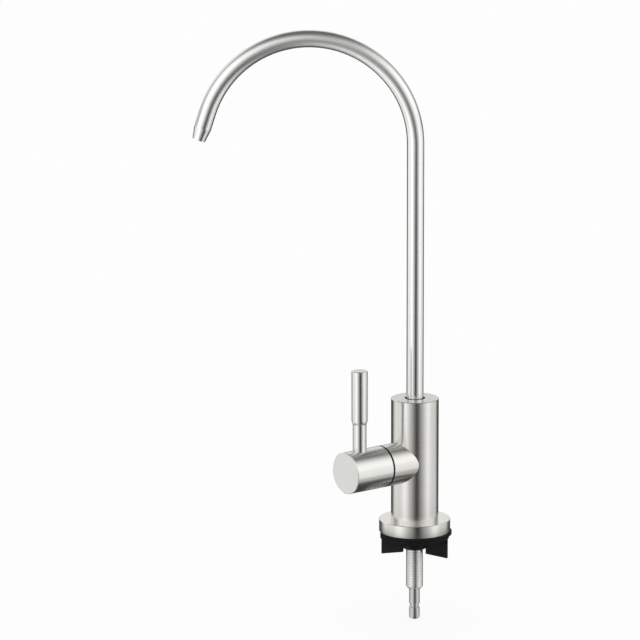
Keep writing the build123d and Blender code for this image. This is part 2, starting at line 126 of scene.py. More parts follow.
@dataclass(frozen=True)
class Axis:
    """A line that pieces are turned about: a point on it and its direction."""

    origin: tuple[float, float, float]
    direction: tuple[float, float, float]

    def to_local(self) -> Matrix:
        """The matrix that takes a point in the row frame to this axis's frame, with the axis along Z."""
        turn = Vector(self.direction).to_track_quat("Z", "Y").to_matrix().to_4x4()
        return (Matrix.Translation(self.origin) @ turn).inverted()


class Lay(Enum):
    """Which way the lines of a brushed or turned surface run."""

    ROUND_THE_AXIS = "round the axis"
    ROUND_THE_BEND = "round the bent tube"


@dataclass(frozen=True)
class Steel:
    """Stainless steel that was turned or brushed round its axis.

    The eye sees soft streaks along the brush lines, and reflections that are drawn out across them.

    Attributes:
        name: the material's name.
        axis: the line that the piece is turned about.
        colour: the metal's own colour.
        roughness: mean roughness.
        stretch: how much the reflections are drawn out across the brush lines.
        line_width: mean width of a streak, drawn coarser than the real grit so that it shows.
        line_length: mean length of a streak.
        line_depth: depth of the lines in the bump.
        contrast: how much the metal's colour varies either way, duller in the hollows of the lines.
        patchiness: how much the roughness varies either way, from streak to streak.
        layers: how many ever finer layers the streaks have.
        layer_strength: how strong each layer is against the coarser one before it.
        lay: which way the lines run.
        bend_centre: centre of the bend, for a bent tube.
        bend_radius: radius of the bend's centre line, for a bent tube.
        bend_axis: the direction of the line that the bend turns about, for a bent tube.
        bend_roughness: how much rougher the top of the bend is, which was brushed after bending.
    """

    name: str
    axis: Axis
    colour: str = "#cfceca"
    roughness: float = 0.23
    stretch: float = 0.5
    line_width: float = 1.2 * MM
    line_length: float = 30.0 * MM
    line_depth: float = 0.002 * MM
    contrast: float = 0.06
    patchiness: float = 0.008
    layers: float = 4.0
    layer_strength: float = 0.7
    lay: Lay = Lay.ROUND_THE_AXIS
    bend_centre: tuple[float, float, float] = (0.0, 0.0, 0.0)
    bend_radius: float = 0.0
    bend_axis: tuple[float, float, float] = (0.0, 1.0, 0.0)
    bend_roughness: float = 0.0

    def material(self) -> bpy.types.Material:
        """Makes the material.

        Returns:
            the material, with all its nodes.
        """
        made = bpy.data.materials.new(self.name)
        made.use_nodes = True
        tree = made.node_tree
        shader = tree.nodes["Principled BSDF"]
        place = add_node(tree, "TexCoord")
        along, tangent = self.directions(tree, place)
        streaks = self.streaks(tree, along)
        roughness = add_node(tree, "MapRange", {
            "Value": streaks,
            "From Min": NOISE_LOW,
            "From Max": NOISE_HIGH,
            "To Min": self.roughness - self.patchiness,
            "To Max": self.roughness + self.patchiness,
        })
        *mean, alpha = linear(self.colour)
        colour = add_node(tree, "Mix", {
            "Factor": streaks,
            "A": (*(value * (1 - self.contrast) for value in mean), alpha),
            "B": (*(value * (1 + self.contrast) for value in mean), alpha),
        }, data_type="RGBA")
        bump = add_node(tree, "Bump", {"Height": streaks, "Distance": self.line_depth})
        shader.inputs["Metallic"].default_value = 1.0
        shader.inputs["Anisotropic"].default_value = self.stretch
        tree.links.new(colour.outputs["Result"], shader.inputs["Base Color"])
        rough = roughness.outputs["Result"]
        if self.lay is Lay.ROUND_THE_BEND:
            rough = self.rougher_bend(tree, place, rough)
        tree.links.new(rough, shader.inputs["Roughness"])
        tree.links.new(bump.outputs["Normal"], shader.inputs["Normal"])
        tree.links.new(tangent, shader.inputs["Tangent"])
        return made

    def directions(
        self, tree: bpy.types.NodeTree, place: bpy.types.Node
    ) -> tuple[bpy.types.NodeSocket, bpy.types.NodeSocket]:
        """Adds the nodes that follow the form.

        Args:
            tree: the material's node tree.
            place: its texture coordinate node.

        Returns:
            coordinates whose Z changes across the brush lines, and the tangent that runs across them.
        """
        if self.lay is Lay.ROUND_THE_BEND:
            return self.bend_directions(tree, place)
        matrix = self.axis.to_local()
        local = add_node(tree, "Mapping", {
            "Vector": place.outputs["Object"],
            "Location": matrix.to_translation(),
            "Rotation": matrix.to_euler(),
        }, vector_type="POINT")
        parts = add_node(tree, "SeparateXYZ", {0: local.outputs[0]})
        flat = add_node(tree, "VectorMath", {0: local.outputs[0], 1: LEVEL_PART}, operation="MULTIPLY")
        radius = add_node(tree, "VectorMath", {0: flat.outputs[0]}, operation="LENGTH")
        across = add_node(tree, "Math", {
            0: parts.outputs["Z"],
            1: radius.outputs["Value"],
        }, operation="ADD")
        along = add_node(tree, "CombineXYZ", {
            "X": parts.outputs["X"],
            "Y": parts.outputs["Y"],
            "Z": across.outputs[0],
        })
        offset = add_node(tree, "VectorMath", {
            0: place.outputs["Object"],
            1: self.axis.origin,
        }, operation="SUBTRACT")
        around = add_node(tree, "VectorMath", {
            0: self.axis.direction,
            1: offset.outputs[0],
        }, operation="CROSS_PRODUCT")
        across_lines = add_node(tree, "VectorMath", {
            0: place.outputs["Normal"],
            1: around.outputs[0],
        }, operation="CROSS_PRODUCT")
        tangent = add_node(tree, "VectorTransform", {
            "Vector": across_lines.outputs[0],
        }, vector_type="VECTOR", convert_from="OBJECT", convert_to="WORLD")
        return along.outputs[0], tangent.outputs[0]

    def from_bend_centre(self, tree: bpy.types.NodeTree, place: bpy.types.Node) -> bpy.types.Node:
        """Adds the nodes that measure a point from the bend's centre.

        Args:
            tree: the material's node tree.
            place: its texture coordinate node.

        Returns:
            the node whose outputs are the point's X, Y and Z from there.
        """
        offset = add_node(tree, "VectorMath", {
            0: place.outputs["Object"],
            1: self.bend_centre,
        }, operation="SUBTRACT")
        return add_node(tree, "SeparateXYZ", {0: offset.outputs[0]})

    def bend_directions(
        self, tree: bpy.types.NodeTree, place: bpy.types.Node
    ) -> tuple[bpy.types.NodeSocket, bpy.types.NodeSocket]:
        """Adds the nodes that follow the tube up its straight run and round its bend.

        Args:
            tree: the material's node tree.
            place: its texture coordinate node.

        Returns:
            coordinates whose Z is the distance along the tube, and the tangent along the tube.
        """
        parts = self.from_bend_centre(tree, place)
        above = add_node(tree, "Math", {0: parts.outputs["Z"], 1: 0.0}, operation="MAXIMUM")
        below = add_node(tree, "Math", {0: parts.outputs["Z"], 1: 0.0}, operation="MINIMUM")
        angle = add_node(tree, "Math", {0: above.outputs[0], 1: parts.outputs["X"]}, operation="ARCTAN2")
        run = add_node(tree, "Math", {
            0: angle.outputs[0],
            1: self.bend_radius,
            2: below.outputs[0],
        }, operation="MULTIPLY_ADD")
        spoke = add_node(tree, "CombineXYZ", {"X": parts.outputs["X"], "Z": above.outputs[0]})
        reach = add_node(tree, "VectorMath", {0: spoke.outputs[0]}, operation="LENGTH")
        along = add_node(tree, "CombineXYZ", {
            "X": reach.outputs["Value"],
            "Y": parts.outputs["Y"],
            "Z": run.outputs[0],
        })
        down_the_tube = add_node(tree, "VectorMath", {
            0: self.bend_axis,
            1: spoke.outputs[0],
        }, operation="CROSS_PRODUCT")
        tangent = add_node(tree, "VectorTransform", {
            "Vector": down_the_tube.outputs[0],
        }, vector_type="VECTOR", convert_from="OBJECT", convert_to="WORLD")
        return along.outputs[0], tangent.outputs[0]

    def rougher_bend(
        self, tree: bpy.types.NodeTree, place: bpy.types.Node, rough: bpy.types.NodeSocket
    ) -> bpy.types.NodeSocket:
        """Adds the nodes that make the bend rougher towards its top.

        Args:
            tree: the material's node tree.
            place: its texture coordinate node.
            rough: the roughness on the straight run.

        Returns:
            the roughness everywhere.
        """
        parts = self.from_bend_centre(tree, place)
        rise = add_node(tree, "MapRange", {
            "Value": parts.outputs["Z"],
            "From Max": self.bend_radius,
            "To Max": self.bend_roughness,
        }, interpolation_type="SMOOTHSTEP")
        return add_node(tree, "Math", {0: rise.outputs["Result"], 1: rough}, operation="ADD").outputs[0]

    def streaks(self, tree: bpy.types.NodeTree, along: bpy.types.NodeSocket) -> bpy.types.NodeSocket:
        """Adds the noise that the brush lines are drawn with.

        Args:
            tree: the material's node tree.
            along: coordinates whose Z changes across the lines.

        Returns:
            the noise's value, around a half.
        """
        squeezed = add_node(tree, "Mapping", {
            "Vector": along,
            "Scale": (1 / self.line_length, 1 / self.line_length, 1 / self.line_width),
        }, vector_type="POINT")
        noise = add_node(tree, "TexNoise", {
            "Vector": squeezed.outputs[0],
            "Scale": 1.0,
            "Detail": self.layers,
            "Roughness": self.layer_strength,
        })
        return noise.outputs["Fac"]


@dataclass(frozen=True)
class Moulding:
    """Plastic or rubber, moulded in a tool with a fine eroded grain, or ceramic that was pressed and lapped.

    The eye sees an even matt black with a soft gloss along the edges, never a mirror.
    The ceramic is a pale gloss instead, with a faint mottle.

    Attributes:
        name: the material's name.
        colour: the colour in the hollows.
        worn_colour: the colour where the grain stands proud.
        roughness: mean roughness.
        grain: size of the grain, drawn coarser than the tool's so that it shows.
        grain_depth: depth of the grain in the bump.
        gloss: strength of the reflection, where 0.5 is that of plain plastic.
        spread: how much the roughness varies either way.
        layers: how many ever finer layers the grain has.
    """

    name: str
    colour: str
    worn_colour: str
    roughness: float
    grain: float = 0.5 * MM
    grain_depth: float = 0.02 * MM
    gloss: float = 0.2
    spread: float = 0.08
    layers: float = 2.0

    def material(self) -> bpy.types.Material:
        """Makes the material.

        Returns:
            the material, with all its nodes.
        """
        made = bpy.data.materials.new(self.name)
        made.use_nodes = True
        tree = made.node_tree
        shader = tree.nodes["Principled BSDF"]
        place = add_node(tree, "TexCoord")
        grain = add_node(tree, "TexNoise", {
            "Vector": place.outputs["Object"],
            "Scale": 1 / self.grain,
            "Detail": self.layers,
        })
        colour = add_node(tree, "Mix", {
            "Factor": grain.outputs["Fac"],
            "A": linear(self.colour),
            "B": linear(self.worn_colour),
        }, data_type="RGBA")
        roughness = add_node(tree, "MapRange", {
            "Value": grain.outputs["Fac"],
            "To Min": self.roughness - self.spread,
            "To Max": self.roughness + self.spread,
        })
        bump = add_node(tree, "Bump", {
            "Height": grain.outputs["Fac"],
            "Distance": self.grain_depth,
        })
        shader.inputs["Specular IOR Level"].default_value = self.gloss
        tree.links.new(colour.outputs["Result"], shader.inputs["Base Color"])
        tree.links.new(roughness.outputs["Result"], shader.inputs["Roughness"])
        tree.links.new(bump.outputs["Normal"], shader.inputs["Normal"])
        return made


@dataclass(frozen=True)
class PlainMetal:
    """A metal part inside the tap, machined or stamped all over.

    The eye sees an even satin with a fine mottle, with no direction to it.

    Attributes:
        name: the material's name.
        colour: the metal's own colour.
        roughness: mean roughness.
        mottle: size of the mottle, drawn coarser than the real tool marks.
        depth: depth of the tool marks in the bump.
        spread: how much the roughness varies either way.
        layers: how many ever finer layers the mottle has.
    """

    name: str
    colour: str
    roughness: float
    mottle: float = 0.6 * MM
    depth: float = 0.006 * MM
    spread: float = 0.08
    layers: float = 3.0

    def material(self) -> bpy.types.Material:
        """Makes the material.

        Returns:
            the material, with all its nodes.
        """
        made = bpy.data.materials.new(self.name)
        made.use_nodes = True
        tree = made.node_tree
        shader = tree.nodes["Principled BSDF"]
        place = add_node(tree, "TexCoord")
        marks = add_node(tree, "TexNoise", {
            "Vector": place.outputs["Object"],
            "Scale": 1 / self.mottle,
            "Detail": self.layers,
        })
        roughness = add_node(tree, "MapRange", {
            "Value": marks.outputs["Fac"],
            "To Min": self.roughness - self.spread,
            "To Max": self.roughness + self.spread,
        })
        bump = add_node(tree, "Bump", {"Height": marks.outputs["Fac"], "Distance": self.depth})
        shader.inputs["Base Color"].default_value = linear(self.colour)
        shader.inputs["Metallic"].default_value = 1.0
        tree.links.new(roughness.outputs["Result"], shader.inputs["Roughness"])
        tree.links.new(bump.outputs["Normal"], shader.inputs["Normal"])
        return made


# A row of stops: each is a place, and the value there
Stops = tuple[tuple[float, float], ...]


@dataclass(frozen=True)
class Surround:
    """The tones round the tap that its metal reflects, by bearing and by elevation or distance.

    A light tent is bright to the left and right, with a gap in front for the camera and dark edges behind.
    Read by distance on the floor, the same kind of tones are a painted reflection, with painted shade.
    Each profile's stops are an elevation or distance, and the tone there, where 1 is white.
    The stops of each share and of the gain are an angle in degrees, and how much is taken there.

    Attributes:
        sides: the profile to the left and right.
        front: the profile in front.
        back: the profile behind.
        front_share: how much of the front profile is seen, by the angle from the front gap.
        back_share: how much of the back profile is seen, by the angle from straight behind.
        gain: how much brighter all of it is, by the angle from the front gap.
        unit: what one unit of the profiles' elevations or distances is in the scene.
        gap_bearing: where the middle of the front gap is, in degrees to the right of the camera.
        tilt: how much brighter the left is than the middle, and how much darker the right.
    """

    sides: Stops
    front: Stops
    back: Stops
    front_share: Stops
    back_share: Stops
    gain: Stops
    unit: float
    gap_bearing: float
    tilt: float = 0.06

    def tone(
        self, tree: bpy.types.NodeTree, direction: bpy.types.NodeSocket, place: bpy.types.NodeSocket
    ) -> bpy.types.NodeSocket:
        """Adds the nodes that work out the tone.

        Args:
            tree: the node tree that takes them.
            direction: a vector from the tap, of which only the bearing counts.
            place: the elevation or distance.

        Returns:
            the tone.
        """
        gap = math.radians(self.gap_bearing)
        level = add_node(tree, "VectorMath", {0: direction, 1: LEVEL_PART}, operation="MULTIPLY")
        heading = add_node(tree, "VectorMath", {0: level.outputs[0]}, operation="NORMALIZE").outputs[0]
        nearness = add_node(tree, "VectorMath", {
            0: heading,
            1: (math.sin(gap), -math.cos(gap), 0.0),
        }, operation="DOT_PRODUCT")
        bearing = add_node(tree, "Math", {0: nearness.outputs["Value"]}, operation="ARCCOSINE").outputs[0]
        parts = add_node(tree, "SeparateXYZ", {0: heading})
        from_behind = add_node(tree, "Math", {0: parts.outputs["Y"]}, operation="ARCCOSINE").outputs[0]
        with_front = add_node(tree, "Mix", {
            "Factor": self.read(tree, bearing, self.front_share, DEGREE),
            "A": self.read(tree, place, self.sides, self.unit),
            "B": self.read(tree, place, self.front, self.unit),
        })
        with_back = add_node(tree, "Mix", {
            "Factor": self.read(tree, from_behind, self.back_share, DEGREE),
            "A": with_front.outputs["Result"],
            "B": self.read(tree, place, self.back, self.unit),
        })
        evenness = add_node(tree, "Math", {
            0: parts.outputs["X"],
            1: -self.tilt,
            2: 1.0,
        }, operation="MULTIPLY_ADD")
        gain = add_node(tree, "Math", {
            0: self.read(tree, bearing, self.gain, DEGREE),
            1: evenness.outputs[0],
        }, operation="MULTIPLY")
        tone = add_node(tree, "Math", {
            0: with_back.outputs["Result"],
            1: gain.outputs[0],
        }, operation="MULTIPLY")
        return tone.outputs[0]

    def read(
        self, tree: bpy.types.NodeTree, value: bpy.types.NodeSocket, stops: Stops, unit: float
    ) -> bpy.types.NodeSocket:
        """Adds the nodes that read a row of stops.

        Args:
            tree: the node tree that takes them.
            value: the value that is looked up.
            stops: the row of stops.
            unit: what one unit of the stops is in the value.

        Returns:
            what the row says for the value.
        """
        first, last = stops[0][0], stops[-1][0]
        place = add_node(tree, "MapRange", {
            "Value": value,
            "From Min": first * unit,
            "From Max": last * unit,
        })
        ramp = add_node(tree, "ValToRGB", {"Fac": place.outputs["Result"]})
        ramp.color_ramp.interpolation = "CARDINAL"
        elements = ramp.color_ramp.elements
        for at, _ in stops[1:-1]:
            elements.new((at - first) / (last - first))
        for element, (_, tone) in zip(elements, stops):
            share = tone / STOP_LIMIT
            element.color = (share, share, share, 1.0)
        full = add_node(tree, "Math", {0: ramp.outputs["Color"], 1: STOP_LIMIT}, operation="MULTIPLY")
        return full.outputs[0]


# How much of the front is seen in the gap and beside it, by the tent and by the floor alike
FRONT_SHARE = ((0, 1.0), (8, 0.88), (18, 0.6), (28, 0.38), (38, 0.18), (50, 0.03), (62, 0.0), (180, 0.0))

TENT = Surround(
    sides=(
        (-10, 1.0), (0, 1.25), (10, 1.46), (20, 1.57), (30, 1.52),
        (40, 1.3), (50, 0.76), (60, 0.36), (70, 0.22), (80, 0.14), (90, 0.14)
    ),
    front=(
        (-10, 0.1), (0, 0.28), (10, 0.42), (20, 0.45), (32, 0.46), (42, 0.44), (50, 0.38), (60, 0.28),
        (70, 0.2), (90, 0.14)
    ),
    back=(
        (-10, 0.1), (0, 0.42), (10, 0.72), (20, 0.95), (30, 1.0), (40, 0.55), (50, 0.2), (60, 0.16),
        (70, 0.14), (90, 0.14)
    ),
    front_share=FRONT_SHARE,
    back_share=((0, 1.0), (30, 1.0), (50, 0.4), (70, 0.0), (180, 0.0)),
    gain=((0, 1.0), (84, 1.02), (98, 0.75), (112, 0.42), (126, 0.42), (140, 0.8), (152, 1.05), (180, 1.05)),
    unit=DEGREE,
    gap_bearing=10.0,
)
# Painted reflection: the tones that the floor glows with in the metal only, dark in front and behind, with
# painted shade near the tap's foot
PAINTED_FLOOR_REFLECTION = Surround(
    sides=(
        (0, 0.58), (80, 0.56), (140, 0.54), (190, 0.62), (270, 0.98), (360, 0.94), (520, 0.91), (800, 1.0),
        (1600, 1.1)
    ),
    front=((0, 0.02), (800, 0.01), (1100, 0.01), (1350, 0.06), (1600, 0.14), (2400, 0.2)),
    back=((0, 0.12), (200, 0.1), (500, 0.06), (1600, 0.06)),
    front_share=FRONT_SHARE,
    back_share=((0, 1.0), (44, 1.0), (50, 0.85), (57, 0.45), (66, 0.12), (80, 0.0), (180, 0.0)),
    gain=((0, 1.0), (35, 1.15), (58, 1.5), (76, 1.17), (95, 1.08), (112, 1.15), (180, 1.1)),
    unit=MM,
    gap_bearing=8.0,
)


@dataclass
class Studio:
    """The pale floor, a card of painted shade under the flange that only the metal sees, the world, and the
    camera.

    Attributes:
        floor_gap: how far the floor is below the tap.
        floor_half_width: half the floor's width.
        floor_colour: the floor's own colour, where light and shadow show on it.
        floor_glow: how much of the floor shows as plain white instead.
        light_level: strength of the world's light.
        card_level: height of the card of painted shade.
        card_dark_to: radius up to which the card is solid.
        card_radius: radius at which it has faded out.
        card_tone: the tone of the painted shade, where 1 is white.
        card_corners: how many corners its outline has.
        camera_pitch: how far the camera looks down, in degrees.
        camera_roll: how far it leans, in degrees.
        camera_distance: how far it is from its target.
        camera_lens: its focal length, in millimetres.
        camera_target: the point that it looks at.
        camera_sees_from: the nearest distance that it shows.
        camera_sees_to: the farthest distance that it shows.
    """

    floor_gap: float = 0.3 * MM
    floor_half_width: float = 9.0
    floor_colour: str = "#f8f8f7"
    floor_glow: float = 0.85
    light_level: float = 0.95
    card_level: float = -5.0 * MM
    card_dark_to: float = 33.0 * MM
    card_radius: float = 64.0 * MM
    card_tone: float = 0.08
    card_corners: int = 64
    camera_pitch: float = 12.0989
    camera_roll: float = -0.1557
    camera_distance: float = 2.2
    camera_lens: float = 212.0
    camera_target: tuple[float, float, float] = (-55.542 * MM, 0.0, 128.949 * MM)
    camera_sees_from: float = 0.05
    camera_sees_to: float = 60.0

    def place_camera(self) -> None:
        """Makes the camera, at the height, distance and angle of view that the tap's outline gives."""
        pitch, roll = math.radians(self.camera_pitch), math.radians(self.camera_roll)
        forward = Vector((0.0, math.cos(pitch), -math.sin(pitch)))
        level_up = Vector((0.0, math.sin(pitch), math.cos(pitch)))
        level_right = Vector((1.0, 0.0, 0.0))
        right = level_right * math.cos(roll) + level_up * math.sin(roll)
        up = level_up * math.cos(roll) - level_right * math.sin(roll)
        turn = Matrix((right, up, -forward)).transposed().to_4x4()
        data = bpy.data.cameras.new("camera")
        data.lens = self.camera_lens
        data.clip_start = self.camera_sees_from
        data.clip_end = self.camera_sees_to
        camera = bpy.data.objects.new("camera", data)
        place = Vector(self.camera_target) - forward * self.camera_distance
        camera.matrix_world = Matrix.Translation(place) @ turn
        bpy.context.scene.collection.objects.link(camera)
        bpy.context.scene.camera = camera

    def light_world(self) -> None:
        """Gives the world an even soft light, which the eye sees as white and metal as the light tent."""
        world = bpy.data.worlds.new("studio")
        world.use_nodes = True
        tree = world.node_tree
        tree.nodes.clear()
        path = add_node(tree, "LightPath")
        light = add_node(tree, "Background", {"Color": WHITE, "Strength": self.light_level})
        white = add_node(tree, "Background", {"Color": WHITE, "Strength": 1.0})
        direction = add_node(tree, "TexCoord").outputs["Generated"]
        height = add_node(tree, "SeparateXYZ", {0: direction}).outputs["Z"]
        elevation = add_node(tree, "Math", {0: height}, operation="ARCSINE").outputs[0]
        tone = TENT.tone(tree, direction, elevation)
        tent = add_node(tree, "Background", {"Color": WHITE, "Strength": tone})
        direct = add_node(tree, "Math", {
            0: path.outputs["Is Camera Ray"],
            1: path.outputs["Is Transmission Ray"],
        }, operation="MAXIMUM")
        seen = add_node(tree, "MixShader", {0: direct.outputs[0], 1: light.outputs[0], 2: white.outputs[0]})
        mix = add_node(tree, "MixShader", {
            0: path.outputs["Is Glossy Ray"],
            1: seen.outputs[0],
            2: tent.outputs[0],
        })
        add_node(tree, "OutputWorld", {"Surface": mix.outputs[0]})
        bpy.context.scene.world = world

    def bare_material(self, name: str) -> bpy.types.Material:
        """Makes a material with no nodes yet, whose glow isn't sampled as a lamp.

        Args:
            name: the material's name.

        Returns:
            the material.
        """
        material = bpy.data.materials.new(name)
        material.use_nodes = True
        material.node_tree.nodes.clear()
        material.cycles.emission_sampling = "NONE"
        return material

    def from_the_column(
        self, tree: bpy.types.NodeTree
    ) -> tuple[bpy.types.NodeSocket, bpy.types.NodeSocket]:
        """Adds the nodes that say where a point is on the floor or the card.

        Args:
            tree: the material's node tree.

        Returns:
            the point, and its distance from the column's axis.
        """
        spot = add_node(tree, "TexCoord").outputs["Object"]
        level_spot = add_node(tree, "VectorMath", {0: spot, 1: LEVEL_PART}, operation="MULTIPLY")
        distance = add_node(tree, "VectorMath", {0: level_spot.outputs[0]}, operation="LENGTH")
        return spot, distance.outputs["Value"]

    def show(self, bm: bmesh.types.BMesh, material: bpy.types.Material) -> bpy.types.Object:
        """Turns a bmesh into a piece of the scene.

        Args:
            bm: the mesh, which is freed.
            material: the piece's material, which it is named after.

        Returns:
            the piece.
        """
        mesh = bpy.data.meshes.new(material.name)
        bm.to_mesh(mesh)
        bm.free()
        mesh.materials.append(material)
        piece = bpy.data.objects.new(material.name, mesh)
        bpy.context.scene.collection.objects.link(piece)
        return piece

    def lay_floor(self) -> None:
        """Lays the pale floor just under the tap. It shows white, and the tap's shadow on it. In the metal it
        shows a painted reflection instead: a glow that is dark in front and behind, with painted shade near
        the tap's foot.
        """
        material = self.bare_material("studio_floor")
        tree = material.node_tree
        path = add_node(tree, "LightPath")
        share = add_node(tree, "Math", {
            0: path.outputs["Is Camera Ray"],
            1: self.floor_glow,
        }, operation="MULTIPLY")
        matt = add_node(tree, "BsdfDiffuse", {"Color": linear(self.floor_colour)})
        white = add_node(tree, "Emission", {"Color": WHITE, "Strength": 1.0})
        seen = add_node(tree, "MixShader", {0: share.outputs[0], 1: matt.outputs[0], 2: white.outputs[0]})
        # painted reflection: the floor glows in the metal with painted tones, dark in front and near the
        # tap's foot
        tone = PAINTED_FLOOR_REFLECTION.tone(tree, *self.from_the_column(tree))
        painted_reflection = add_node(tree, "Emission", {"Color": WHITE, "Strength": tone})
        mix = add_node(tree, "MixShader", {
            0: path.outputs["Is Glossy Ray"],
            1: seen.outputs[0],
            2: painted_reflection.outputs[0],
        })
        add_node(tree, "OutputMaterial", {"Surface": mix.outputs[0]})
        level = cad_corners[0].z - self.floor_gap
        bm = bmesh.new()
        bmesh.ops.create_grid(
            bm,
            x_segments=1,
            y_segments=1,
            size=self.floor_half_width,
            matrix=Matrix.Translation((0, 0, level)),
        )
        floor = self.show(bm, material)

    def lay_painted_shade_card(self) -> None:
        """Lays a round card of painted shade under the flange, which fades out. It is seen only in the metal
        above it, as a dark reflection where the tap's own shade would be.
        """
        material = self.bare_material("painted_shade_card")
        tree = material.node_tree
        _, distance = self.from_the_column(tree)
        cover = add_node(tree, "MapRange", {
            "Value": distance,
            "From Min": self.card_dark_to,
            "From Max": self.card_radius,
            "To Min": 1.0,
            "To Max": 0.0,
        }, interpolation_type="SMOOTHSTEP")
        # painted shade: a dim glow that only the metal's reflections see, standing in for the shade under the
        # tap
        dark = add_node(tree, "Emission", {"Color": WHITE, "Strength": self.card_tone})
        nothing = add_node(tree, "BsdfTransparent")
        mix = add_node(tree, "MixShader", {
            0: cover.outputs["Result"],
            1: nothing.outputs[0],
            2: dark.outputs[0],
        })
        add_node(tree, "OutputMaterial", {"Surface": mix.outputs[0]})
        bm = bmesh.new()
        bmesh.ops.create_circle(
            bm,
            cap_ends=True,
            segments=self.card_corners,
            radius=self.card_radius,
            matrix=Matrix.Translation((0, 0, self.card_level)),
        )
        card = self.show(bm, material)
        card.visible_camera = False
        card.visible_diffuse = False
        card.visible_transmission = False
        card.visible_volume_scatter = False
        card.visible_shadow = False

    def build(self) -> None:
        """Makes the whole studio."""
        self.place_camera()
        self.light_world()
        self.lay_floor()
        self.lay_painted_shade_card()
        log.info("studio ready")


# The column's axis, and the valve's level axis, turned from the front towards the spout's side
UPRIGHT = Axis((0.0, 0.0, 0.0), (0.0, 0.0, 1.0))
VALVE_HEIGHT = 44.7 * MM
VALVE_TURN = math.radians(52.0)
VALVE_DIRECTION = (-math.sin(VALVE_TURN), -math.cos(VALVE_TURN), 0.0)
VALVE = Axis((0.0, 0.0, VALVE_HEIGHT), VALVE_DIRECTION)

# The two black mouldings, which differ in gloss: nylon is satin and rubber is matt
NYLON = Moulding("black_nylon_moulded", "#0f0f10", "#161617", 0.5)
RUBBER = Moulding("black_rubber_moulded", "#0c0c0d", "#131314", 0.62, grain=0.35 * MM)


def dress(pieces: list[bpy.types.Object], finish: Steel | Moulding | PlainMetal) -> None:
    """Gives pieces one finish.

    Args:
        pieces: the pieces, each with at least one material slot.
        finish: the finish that they take.
    """
    material = bpy.data.materials.get(finish.name) or finish.material()
    for piece in pieces:
        for slot in piece.material_slots:
            slot.material = material
        log.info("%s: %s", piece.name, finish.name)


def nodes(*names: str) -> list[bpy.types.Object]:
    """The solid pieces with these names."""
    return [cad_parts[name] for name in names]


def finish_mesh(bm: bmesh.types.BMesh, name: str, body: str, stands_for: str) -> bpy.types.Object:
    """Turns a bmesh into a smooth piece of the tap.

    Args:
        bm: the mesh, which is freed.
        name: the piece's name.
        body: the body that the piece rides on.
        stands_for: the solid that it replaces.

    Returns:
        the piece, with one empty material slot.
    """
    bmesh.ops.remove_doubles(bm, verts=bm.verts, dist=WELD)
    bmesh.ops.recalc_face_normals(bm, faces=bm.faces)
    for face in bm.faces:
        face.smooth = True
    mesh = bpy.data.meshes.new(name)
    bm.to_mesh(mesh)
    bm.free()
    mesh.materials.append(None)
    piece = bpy.data.objects.new(name, mesh)
    bpy.context.scene.collection.objects.link(piece)
    weighted = piece.modifiers.new("even_flats", "WEIGHTED_NORMAL")
    weighted.keep_sharp = True
    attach(piece, body)
    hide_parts(stands_for)
    return piece


def round_edges(bm: bmesh.types.BMesh, radius: float) -> None:
    """Rounds the sharp edges of a mesh.

    Args:
        bm: the mesh.
        radius: how far the rounding reaches along each face.
    """
    sharp = [edge for edge in bm.edges if edge.is_manifold and edge.calc_face_angle() > SHARP_ANGLE]
    bmesh.ops.bevel(
        bm,
        geom=sharp,
        offset=radius,
        offset_type="OFFSET",
        affect="EDGES",
        segments=ROUNDING_STRIPS,
        profile=0.5,
        material=-1,
        clamp_overlap=True,
    )


def turned(
    profile: list[tuple[float, float]], axis: Axis, steps: int, edge_radius: float
) -> bmesh.types.BMesh:
    """Turns a closed half section about an axis and rounds its edges.

    Args:
        profile: the section's corners, as distances from the axis and places along it.
        axis: the axis.
        steps: how many strips the full turn has.
        edge_radius: the rounding of the sharp edges.

    Returns:
        the mesh, in the row frame.
    """
    bm = bmesh.new()
    corners = [bm.verts.new((radius, 0.0, place)) for radius, place in profile]
    edges = [bm.edges.new(pair) for pair in zip(corners, corners[1:] + corners[:1])]
    bmesh.ops.spin(
        bm,
        geom=corners + edges,
        cent=(0, 0, 0),
        axis=(0, 0, 1),
        angle=math.tau,
        steps=steps,
        use_merge=True,
    )
    bmesh.ops.remove_doubles(bm, verts=bm.verts, dist=WELD)
    loose = [edge for edge in bm.edges if not edge.link_faces]
    bmesh.ops.delete(bm, geom=loose, context="EDGES")
    bmesh.ops.recalc_face_normals(bm, faces=bm.faces)
    round_edges(bm, edge_radius)
    bmesh.ops.transform(bm, matrix=axis.to_local().inverted(), verts=bm.verts)
    return bm


@dataclass
class TapBody:
    """The column with its side branch, and the black ring between branch and handle."""

    ring_start: float = 24.85 * MM
    ring_end: float = 25.5 * MM
    ring_inner_radius: float = 9.6 * MM
    ring_radius: float = 11.84 * MM
    lip_inner_radius: float = 12.1 * MM
    lip_radius: float = 12.23 * MM
    lip_start: float = 24.6 * MM
    lip_end: float = 25.86 * MM
    ring_edge_radius: float = 0.02 * MM

    def ring(self) -> bpy.types.Object:
        """Makes the black ring, with a thin lip that laps the branch's edge and fills the cap's bevel.

        Returns:
            the ring.
        """
        profile = [
            (self.ring_inner_radius, self.ring_start),
            (self.lip_inner_radius, self.ring_start),
            (self.lip_inner_radius, self.lip_start),
            (self.lip_radius, self.lip_start),
            (self.lip_radius, self.lip_end),
            (self.ring_radius, self.ring_end),
            (self.ring_inner_radius, self.ring_end),
        ]
        bm = turned(profile, VALVE, WIDE_TURN_STEPS, self.ring_edge_radius)
        return finish_mesh(bm, "ring_with_lip", "root", "glide_ring")

    def build(self) -> None:
        """Builds and dresses the pieces."""
        dress([self.ring()], NYLON)
        dress(nodes("body_column"), Steel("stainless_brushed_round_the_column", UPRIGHT))
        dress(nodes("valve_branch"), Steel("stainless_brushed_round_the_branch", VALVE, colour="#cfcdc8"))


